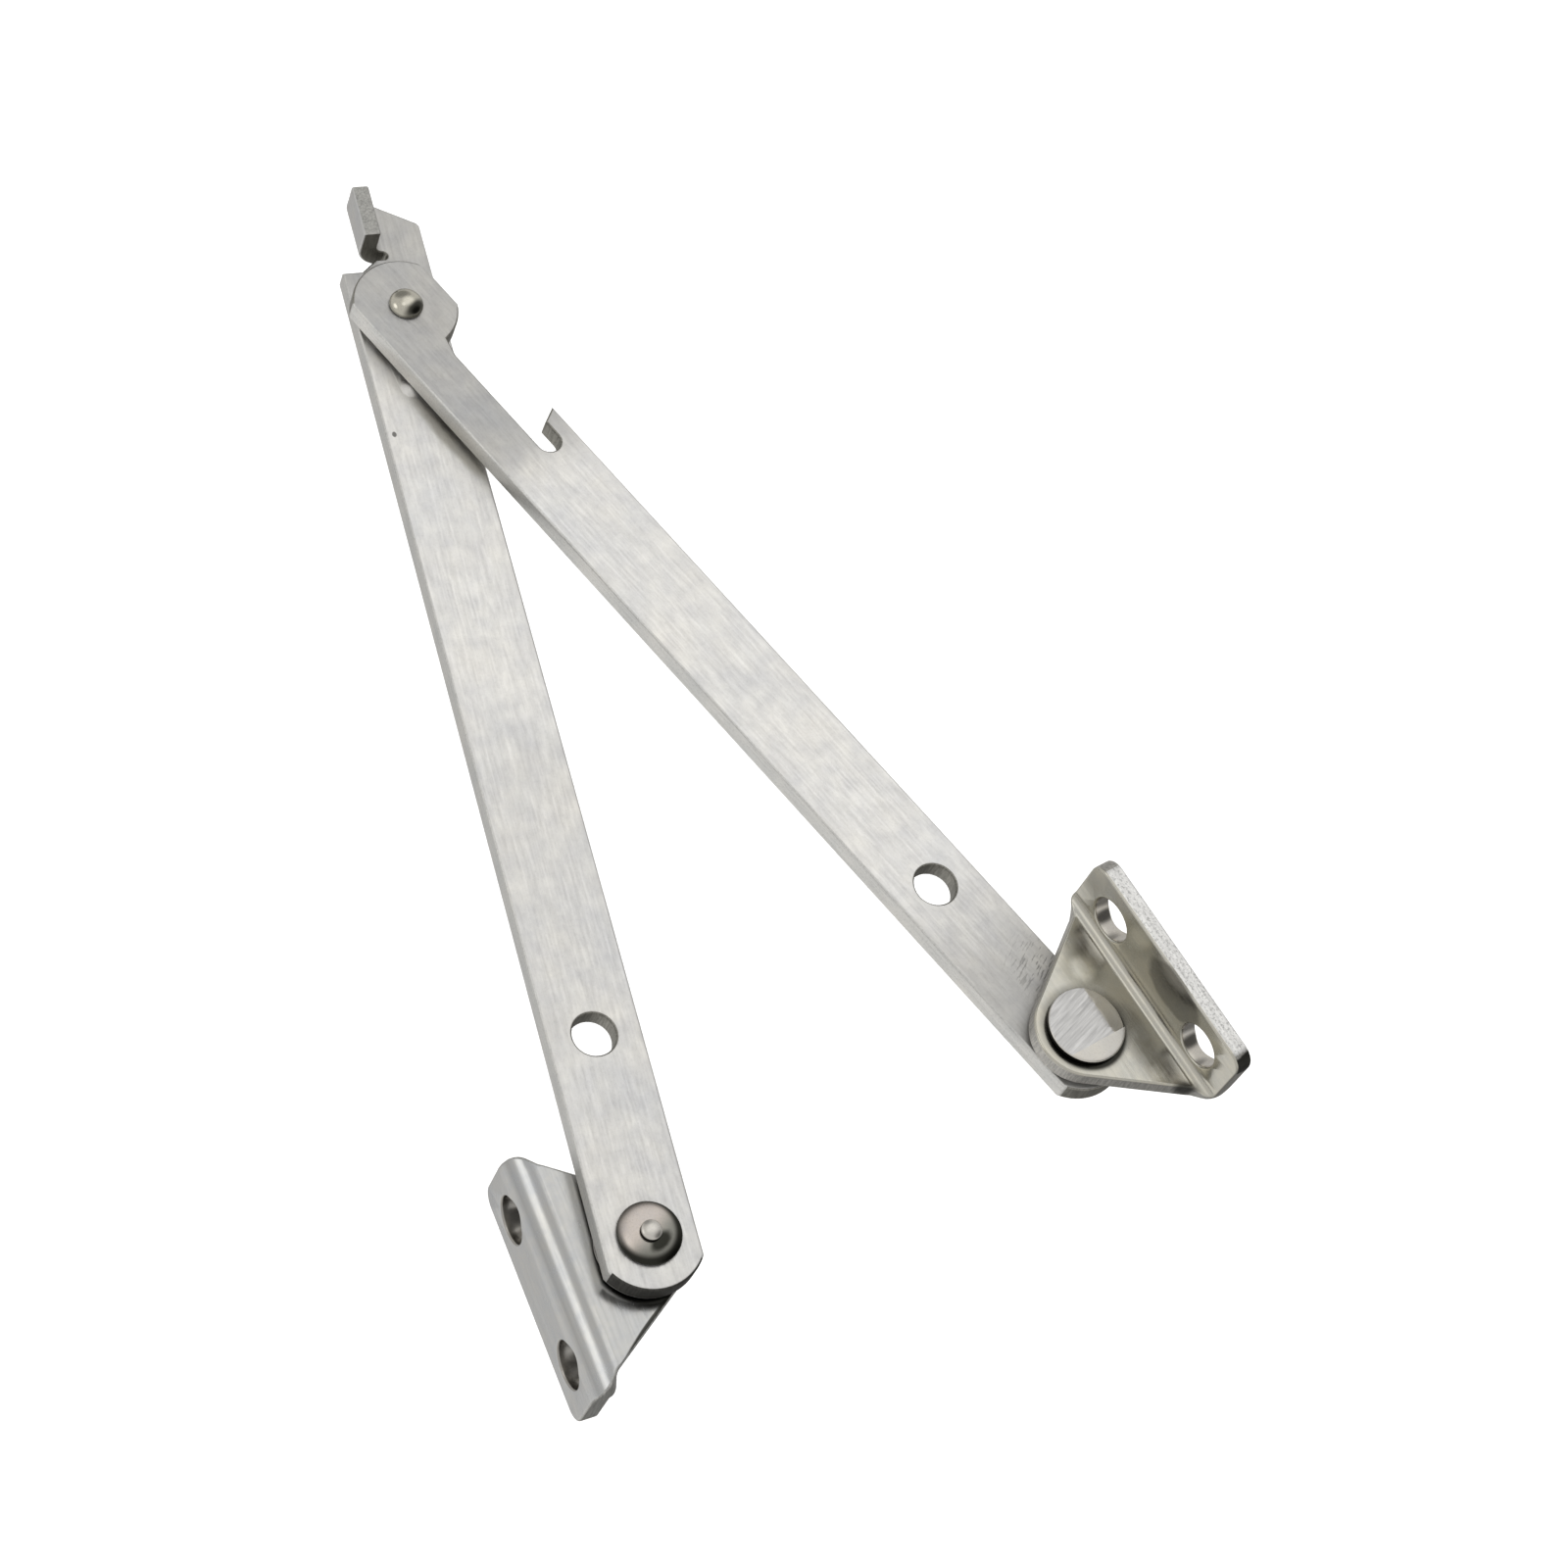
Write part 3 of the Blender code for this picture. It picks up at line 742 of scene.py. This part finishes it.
def bracket(cad_node, materials, location, rotation):
    """L-shaped bracket: y runs from the rivet to the flange, which turns down."""
    outer = BRACKET_BEND_RADIUS + BRACKET_THICK
    neutral = BRACKET_BEND_RADIUS + BRACKET_THICK / 2
    quarter = neutral * QUARTER_TURN
    bend_start = FLANGE_FACE - outer
    flange_start = bend_start + quarter
    free_edge = flange_start + FLANGE_DEPTH - outer
    hole_y = flange_start + SCREW_HOLE_DROP - outer

    # The plate's sides leave the round nose as tangents and flare out at the bend
    flare_x = BRACKET_NOSE_RADIUS / math.cos(BRACKET_TAPER)
    flare_x += bend_start * math.tan(BRACKET_TAPER)
    fillet_x = flare_x + FLARE_FILLET * math.cos(BRACKET_TAPER)
    fillet_y = bend_start - FLARE_FILLET * math.sin(BRACKET_TAPER)
    rise_x = fillet_x - FLARE_FILLET * math.cos(FLARE)
    rise_y = fillet_y + FLARE_FILLET * math.sin(FLARE)
    shoulder_x = FLANGE_HALF_LENGTH - SHOULDER_RADIUS
    start_x = shoulder_x + SHOULDER_RADIUS * math.cos(FLARE)
    shoulder_y = rise_y + (start_x - rise_x) / math.tan(FLARE)
    shoulder_y += SHOULDER_RADIUS * math.sin(FLARE)
    corner_x = FLANGE_HALF_LENGTH - FLANGE_CORNER_RADIUS
    corner_y = free_edge - FLANGE_CORNER_RADIUS

    side = arc((fillet_x, fillet_y), FLARE_FILLET,
               HALF_TURN - BRACKET_TAPER, HALF_TURN - FLARE)
    side += arc((shoulder_x, shoulder_y), SHOULDER_RADIUS, -FLARE, 0)
    side += arc((corner_x, corner_y), FLANGE_CORNER_RADIUS, 0, QUARTER_TURN)
    outline = arc((0, 0), BRACKET_NOSE_RADIUS, BRACKET_TAPER - HALF_TURN, -BRACKET_TAPER)
    outline += side + [(-x, y) for x, y in reversed(side)]
    holes = [
        ring((0, 0), BORE_RADIUS),
        ring((SCREW_HOLE_HALF_SPACING, hole_y), SCREW_HOLE_RADIUS),
        ring((-SCREW_HOLE_HALF_SPACING, hole_y), SCREW_HOLE_RADIUS)]

    sheet = filled_face(outline, holes)
    round_rim(sheet, BRACKET_EDGE_BREAK)
    for step in range(BEND_STEPS + 1):
        y = bend_start + quarter * step / BEND_STEPS
        slice_faces(sheet, list(sheet.faces), (0, y, 0), (0, 1, 0))
    thicken(sheet, BRACKET_THICK)
    mark_walls(sheet, lambda point: bracket_wall(point, hole_y, free_edge))
    for vert in sheet.verts:
        depth = vert.co.y - bend_start
        if depth > 0:
            # The sheet's lower face is the inside of this bend
            mirrored = Vector((vert.co.x, vert.co.y, -vert.co.z))
            across, height = fold(
                mirrored, depth, BRACKET_THICK, BRACKET_BEND_RADIUS,
                BRACKET_THICK, BRACKET_THICK)
            vert.co.y = bend_start + across
            vert.co.z = -height - BRACKET_THICK
    add_piece(cad_node, cad_node, sheet, materials, location, rotation)


# ---------------------------------------------------------------- rivets and rings

def quarter_round(centre, radius, start, end, steps):
    """Profile points on an arc in the radius-height plane."""
    points = []
    for i in range(steps + 1):
        angle = start + (end - start) * i / steps
        points.append((centre[0] + radius * math.cos(angle),
                       centre[1] + radius * math.sin(angle)))
    return points


def rivet_profile():
    """Flat head, shank and peened tenon, upwards from the head's seat at 0."""
    shank_top = GAP + BRACKET_THICK + SPACING + ARM_THICK
    nub_seat = shank_top + GAP + CUP_CROWN + GAP
    edge = HEAD_EDGE
    points = [(0, -HEAD_THICK)]
    points += [(HEAD_RADIUS * share, -HEAD_THICK) for share in HEAD_RING_SHARES]
    points += quarter_round(
        (HEAD_RADIUS - edge, edge - HEAD_THICK), edge, -QUARTER_TURN, 0, 5)
    points += quarter_round((HEAD_RADIUS - edge / 2, -edge / 2), edge / 2, 0, QUARTER_TURN, 3)
    points += [
        (SHANK_RADIUS, 0),
        (SHANK_RADIUS, shank_top),
        (TENON_RADIUS, shank_top),
        (TENON_RADIUS, nub_seat),
        (NUB_RADIUS, nub_seat)]
    for step in range(NUB_STEPS + 1):
        angle = QUARTER_TURN * step / NUB_STEPS
        radius = NUB_RADIUS * math.cos(angle) if step < NUB_STEPS else 0
        share = NUB_WALL_SHARE + (1 - NUB_WALL_SHARE) * math.sin(angle)
        points.append((radius, nub_seat + NUB_HEIGHT * share))
    return points


def cup_profile():
    """Domed washer with a low straight wall, upwards from its seat at 0."""
    reach = CUP_RADIUS - CUP_BORE_RADIUS
    points = [
        (CUP_BORE_RADIUS, 0),
        (CUP_RADIUS - CUP_RIM_BREAK, 0),
        (CUP_RADIUS, CUP_RIM_BREAK)]
    for step in range(CUP_STEPS):
        angle = QUARTER_TURN * step / CUP_STEPS
        radius = CUP_BORE_RADIUS + reach * math.cos(angle)
        points.append((radius, CUP_WALL + (CUP_CROWN - CUP_WALL) * math.sin(angle)))
    points.append((CUP_BORE_RADIUS, CUP_CROWN))
    return points


def elbow_profile():
    """Wide flat head below, round dome above, from the head's seat at 0."""
    edge = ELBOW_HEAD_EDGE
    seat = GAP + ARM_THICK + SPACING + ARM_THICK + GAP
    points = [(0, -HEAD_THICK)]
    points += quarter_round(
        (ELBOW_HEAD_RADIUS - edge, edge - HEAD_THICK), edge, -QUARTER_TURN, 0, 5)
    points += [
        (ELBOW_HEAD_RADIUS, 0),
        (ELBOW_SHANK_RADIUS, 0),
        (ELBOW_SHANK_RADIUS, seat),
        (DOME_RADIUS, seat)]
    for step in range(1, DOME_STEPS + 1):
        angle = QUARTER_TURN * step / DOME_STEPS
        radius = DOME_RADIUS * math.cos(angle) if step < DOME_STEPS else 0
        points.append((radius, seat + DOME_HEIGHT * math.sin(angle)))
    return points


def washer_profile(radius, bore):
    """Flat ring with a rounded rim, upwards from its seat at 0."""
    edge = WASHER_THICK / 4
    points = [(bore, 0)]
    points += quarter_round((radius - edge, edge), edge, -QUARTER_TURN, 0, 3)
    points += quarter_round((radius - edge, WASHER_THICK - edge), edge, 0, QUARTER_TURN, 3)
    points.append((bore, WASHER_THICK))
    return points


def flipped(profile):
    """The same profile upside down, its seat still at 0."""
    return [(radius, -level) for radius, level in reversed(profile)]


def top_faces(body, share):
    """The faces of a body higher than a share of the head's thickness."""
    return [f for f in body.faces if f.calc_center_median().z > HEAD_THICK * share]


def grind_head(body):
    """Grinds the top of an upper rivet head.

    The middle stays flat. The side at the flange is cut away steeply and the low
    side slopes gently.
    """
    near_top, flat_top, lowest = 0.9, 0.99, 0.7    # shares of the head's thickness
    slice_faces(body, top_faces(body, near_top), (GROUND_SIDE, 0, 0), (1, 0, 0))
    for y in (LOW_SIDE, LOW_SIDE + GROUND_STEP):
        slice_faces(body, top_faces(body, near_top), (0, y, 0), (0, 1, 0))
    for face in top_faces(body, flat_top):
        middle = face.calc_center_median()
        if middle.x < GROUND_SIDE and middle.y > LOW_SIDE:
            face.material_index = 1
    for vert in body.verts:
        if vert.co.z < HEAD_THICK * lowest:
            continue
        past = max(0, vert.co.x - GROUND_SIDE) * math.tan(GROUND_SIDE_SLOPE)
        below = max(0, LOW_SIDE - vert.co.y) * math.tan(LOW_SIDE_SLOPE)
        vert.co.z -= past if vert.co.y > LOW_SIDE + GROUND_STEP / 2 else below


def rivets_and_rings():
    """The rivets, and the domed and flat washers on them."""
    # Black on the rivets' steep sides is painted shade
    rivet_steel = turned_steel("rivet_steel", (0.64, 0.62, 0.58), 0.3, BLACK)
    # Black blob on the elbow rivet's dome: painted dark reflection
    dome_dark_reflection = dict(
        centre=(*SHADED_SIDE * 0.0015, 0.0088), size=(0.0019, 0.0008, 0.004),
        soft=0.45, amount=0.95, colour=BLACK, turn=CROSSWISE)
    dome_steel = turned_steel("dome_steel", (0.56, 0.54, 0.47), 0.14, stains_and_painted_light=[dome_dark_reflection])
    cup_steel = domed_face()
    washer_steel = turned_steel("washer_steel", (0.30, 0.29, 0.275), 0.4)
    ground = ground_head()
    still = Matrix.Identity(4)

    frame_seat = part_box("frame_rivet")[0].z + HEAD_THICK
    sash_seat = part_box("sash_rivet")[1].z - HEAD_THICK
    elbow_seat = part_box("elbow_rivet")[0].z + HEAD_THICK
    body = turned(rivet_profile())
    add_piece("frame_rivet", "frame_bracket", body, [rivet_steel, ground],
              at(PIVOT, frame_seat), still)
    body = turned(flipped(rivet_profile()))
    grind_head(body)
    add_piece("sash_rivet", "sash_bracket", body, [rivet_steel, ground],
              at(SASH, sash_seat), plan_turn(SASH_FLANGE_ANGLE))
    add_piece("elbow_rivet", "frame_arm", turned(elbow_profile()), [dome_steel],
              at(ELBOW, elbow_seat), still)

    add_piece("frame_cup_washer", "frame_bracket", turned(cup_profile()), [cup_steel],
              at(PIVOT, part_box("frame_cup_washer")[0].z), still)
    add_piece("sash_cup_washer", "sash_bracket", turned(flipped(cup_profile())), [cup_steel],
              at(SASH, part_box("sash_cup_washer")[1].z), still)

    wide = washer_profile(PIVOT_WASHER_RADIUS, BORE_RADIUS)
    narrow = washer_profile(ELBOW_WASHER_RADIUS, ELBOW_BORE_RADIUS)
    add_piece("frame_washer", "frame_bracket", turned(wide), [washer_steel],
              at(PIVOT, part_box("frame_washer")[0].z), still)
    add_piece("sash_washer", "sash_bracket", turned(wide), [washer_steel],
              at(SASH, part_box("sash_washer")[0].z), still)
    add_piece("elbow_washer", "frame_arm", turned(narrow), [washer_steel],
              at(ELBOW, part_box("elbow_washer")[0].z), still)


def frame_arm_face():
    """Rougher and darker by painted shade past the elbow and towards the bracket, with grime
    and painted shade along the upper arm.
    """
    past_elbow = ARM_LENGTH + 0.001
    pit = dict(
        centre=(ARM_LENGTH - 0.0171, 0.0049, 0), size=(0.0004, 0.0003, 0.001),
        soft=0.2, amount=0.75, colour=BLACK)
    # Brown band along the sash arm's edge: grime and painted shade where the upper arm shades
    # this one
    grime_and_shade = dict(
        centre=(ARM_LENGTH - 0.0189, -0.0025, 0), size=(0.0075, 0.0011, 0.001),
        soft=0.4, amount=0.55, colour=(0.25, 0.23, 0.18),
        turn=SASH_ARM_ANGLE - FRAME_ARM_ANGLE, ragged=0.7)
    # Spans rougher and darkened by painted shade
    dull_and_shaded_spans = [(past_elbow, past_elbow + 0.006, 0.22), (0.074, 0.060, 0.06)]
    return arm_face("frame_arm_steel", dull_and_shaded_spans, [pit, grime_and_shade])


def sash_arm_face():
    """Rougher and darker by painted shade at both ends, and scuffed near the bracket."""
    # Spans rougher and darkened by painted shade
    dull_and_shaded_spans = [(0.032, 0.022, 0.24), (0.098, 0.124, 0.25)]
    return arm_face("sash_arm_steel", dull_and_shaded_spans, [], (ARM_LENGTH - 0.0095, 0.0035))


def frame_bracket_face():
    """Satin, with a black painted shadow of the arm's end beside the rivet's head and black
    painted shade along part of one side.
    """
    # Painted shadow cast by the frame arm's rounded end
    arm_end_shadow = dict(
        centre=(-0.0011, 0, 0), size=(0.0070, 0.0063, 0.01),
        soft=0.08, amount=0.95, colour=BLACK, ragged=0.03)
    # Black painted shade along the plate's tapered side
    rim = dict(
        centre=(-0.0090, 0.0019, 0), size=(0.0060, 0.0005, 0.002),
        soft=0.15, amount=0.95, colour=BLACK,
        turn=QUARTER_TURN + BRACKET_TAPER, ragged=0.2)
    return bracket_face(
        "frame_bracket_steel", (0.50, 0.502, 0.505), dent=0.000006, grime_and_shade=0.2,
        stains_and_painted_light=[arm_end_shadow, rim])


def sash_bracket_steels():
    """The face and the edge of the upper bracket, polished, with painted highlights and
    reflections, a painted shadow round the rivet's head, painted shade at a corner and a
    darker patch on the flange.
    """
    dark, olive, pale = (0.17, 0.165, 0.15), (0.27, 0.26, 0.21), (0.90, 0.88, 0.80)
    foot = FLANGE_DEPTH - FLANGE_CORNER_RADIUS / 2
    # A darker patch on the flange's inner face
    flange_dark_patch = dict(
        centre=(-0.0028, FLANGE_FACE - BRACKET_THICK, -0.0092),
        size=(0.0050, 0.0008, 0.0032), soft=0.12, amount=0.7, colour=dark)
    # Olive ring round the first painted highlight: painted reflection
    patch = dict(
        centre=(0.0066, 0.0044, -BRACKET_THICK), size=(0.0028, 0.0027, 0.001),
        soft=0.35, amount=0.55, colour=olive)
    # Painted highlights on the polished face
    glint = dict(
        centre=(0.0067, 0.0046, -BRACKET_THICK), size=(0.0016, 0.0014, 0.001),
        soft=0.45, amount=0.6, colour=pale)
    second_glint = dict(
        centre=(-0.0094, 0.0052, -BRACKET_THICK), size=(0.0011, 0.0010, 0.001),
        soft=0.5, amount=0.4, colour=pale)
    shadow = dict(
        centre=(-0.0005, -0.0001, 0), size=(0.0054, 0.0054, 0.01),
        soft=0.05, amount=0.95, colour=BLACK, ragged=0.03)
    # Black painted shade at the plate's corner by the flange, on the face and the edge
    corner_shade = dict(
        centre=(-0.0135, 0.0066, -BRACKET_THICK), size=(0.0018, 0.0016, 0.003),
        soft=0.3, amount=0.9, colour=BLACK)
    # Black painted shade at a lower corner of the flange
    corner = dict(
        centre=(-FLANGE_HALF_LENGTH, FLANGE_FACE, -foot), size=(0.0018, 0.004, 0.0016),
        soft=0.1, amount=0.95, colour=BLACK)
    face = bracket_face(
        "sash_bracket_steel", (0.54, 0.525, 0.475), dent=0.00004, grime_and_shade=0.5,
        stains_and_painted_light=[flange_dark_patch, patch, glint, second_glint, shadow, corner_shade])
    edge = sheared_edge("shaded_corner_edge_steel", (0.60, 0.585, 0.55), [corner, corner_shade])
    return face, edge


def plates():
    """The two arms and the two brackets, each with its faces, walls and holes."""
    mill_edge = rolled_edge()
    punched = sheared_edge("punched_edge_steel", (0.36, 0.35, 0.315))
    # Near-black wall round the frame arm's end at its bracket pivot: painted shade
    shaded = sheared_edge("arm_end_steel", (0.10, 0.098, 0.09))
    bracket_edge = sheared_edge("bracket_edge_steel", (0.62, 0.615, 0.59))
    dull_hole = turned_steel("dull_hole_steel", (0.40, 0.385, 0.36), 0.22)
    bright_hole = turned_steel("bright_hole_steel", (0.62, 0.59, 0.54), 0.14)
    ground_edge = flange_edge()
    # Lighter than the other punched walls: painted light on the tab's upper walls
    lit_tab_wall = sheared_edge("lit_tab_wall_steel", (0.54, 0.535, 0.51))
    frame_face = frame_arm_face()
    sash_face = sash_arm_face()
    satin = frame_bracket_face()
    polished, shaded_corner_edge = sash_bracket_steels()

    frame_arm([frame_face, mill_edge, punched, shaded, lit_tab_wall])
    sash_arm([sash_face, mill_edge, punched, punched])
    bracket("frame_bracket", [satin, bracket_edge, ground_edge, dull_hole],
            at(PIVOT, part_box("frame_bracket")[1].z), plan_turn(QUARTER_TURN))
    turned_over = Matrix.Rotation(HALF_TURN, 4, "Y")
    bracket("sash_bracket", [polished, shaded_corner_edge, ground_edge, bright_hole],
            at(SASH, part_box("sash_bracket")[0].z),
            plan_turn(SASH_FLANGE_ANGLE - QUARTER_TURN) @ turned_over)


# ---------------------------------------------------------------- studio

# Soft cards around the stay: direction, inner and outer radius in degrees, brightness
CARDS = [
    ((0.37, 0.35, 0.86), 8, 26, 0.50),
    ((-0.76, 0.25, 0.60), 8, 17, 1.00),
    ((-0.03, 0.21, 0.98), 3, 10, 0.70),
    ((-0.75, -0.10, -0.65), 15, 45, 0.35),
    ((0.15, 0.88, 0.45), 10, 32, -0.45),
    ((0.70, -0.45, 0.55), 13, 36, -0.66),
    ((0.55, -0.45, -0.70), 22, 48, -0.42),
]
SKY = 0.76
GROUND = 0.62


def studio_world():
    """Studio surroundings: plain pale to the camera, soft cards to everything else."""
    world = bpy.data.worlds.new("studio")
    bpy.context.scene.world = world
    world.use_nodes = True
    tree = world.node_tree
    tree.nodes.clear()
    direction = node(tree, "TexCoord", {}).outputs["Generated"]
    up = node(tree, "SeparateXYZ", {0: direction}).outputs["Z"]
    level = spread(tree, up, GROUND, SKY, -0.1, 0.1, smooth=True)
    for place, inner, outer, brightness in CARDS:
        toward = tuple(Vector(place).normalized())
        facing = node(tree, "VectorMath", {
            0: direction, 1: toward}, operation="DOT_PRODUCT").outputs["Value"]
        card = spread(tree, facing, 0, brightness, math.cos(math.radians(outer)),
                      math.cos(math.radians(inner)), smooth=True)
        level = math_node(tree, "ADD", level, card)
    level = math_node(tree, "MAXIMUM", level, 0.01)
    cards = node(tree, "Background", {"Color": (1.0, 0.995, 0.98, 1), "Strength": level})
    pale = node(tree, "Background", {"Color": (1, 1, 1, 1), "Strength": 1.0})
    seen = node(tree, "LightPath", {}).outputs["Is Camera Ray"]
    both = node(tree, "MixShader", {
        0: seen, 1: cards.outputs[0], 2: pale.outputs[0]})
    output = node(tree, "OutputWorld", {})
    tree.links.new(both.outputs[0], output.inputs["Surface"])


def floor():
    """A plain pale floor below the stay, kept out of the metal's reflections."""
    half = 3.0
    height = cad_box[0].z - FLOOR_DROP
    mesh = bpy.data.meshes.new("floor")
    corners = [(-half, -half, height), (half, -half, height),
               (half, half, height), (-half, half, height)]
    mesh.from_pydata(corners, [], [(0, 1, 2, 3)])
    plane = bpy.data.objects.new("floor", mesh)
    bpy.context.scene.collection.objects.link(plane)
    material = bpy.data.materials.new("pale_floor")
    material.use_nodes = True
    tree = material.node_tree
    shader = tree.nodes["Principled BSDF"]
    place = node(tree, "TexCoord", {}).outputs["Object"]
    cloud = noise(tree, place, 0.08)
    tone = mix_colour(tree, cloud, (0.93, 0.93, 0.925, 1), (0.96, 0.96, 0.955, 1))
    tree.links.new(tone, shader.inputs["Base Color"])
    shader.inputs["Roughness"].default_value = 0.9
    mesh.materials.append(material)
    plane.visible_glossy = False


def lamp():
    """A very broad soft light from above, which only the floor shows."""
    light = bpy.data.lights.new("overhead", "SUN")
    light.energy = 2.2
    light.angle = math.radians(80)
    holder = bpy.data.objects.new("overhead", light)
    bpy.context.scene.collection.objects.link(holder)
    holder.rotation_euler = (math.radians(8), math.radians(-12), 0)
    holder.visible_glossy = False


def camera():
    """The camera at the viewpoint."""
    back = CAMERA_BACK.normalized()
    up = (CAMERA_UP - back * CAMERA_UP.dot(back)).normalized()
    right = up.cross(back)
    data = bpy.data.cameras.new("camera")
    data.lens = CAMERA_LENS
    data.sensor_width = 36
    data.clip_start = 0.01
    data.clip_end = 20
    holder = bpy.data.objects.new("camera", data)
    bpy.context.scene.collection.objects.link(holder)
    turn = Matrix((right, up, back)).transposed().to_4x4()
    holder.matrix_world = Matrix.Translation(CAMERA_PLACE) @ turn
    bpy.context.scene.camera = holder


camera()
studio_world()
lamp()
floor()
plates()
rivets_and_rings()
bpy.context.scene.view_settings.view_transform = "Standard"
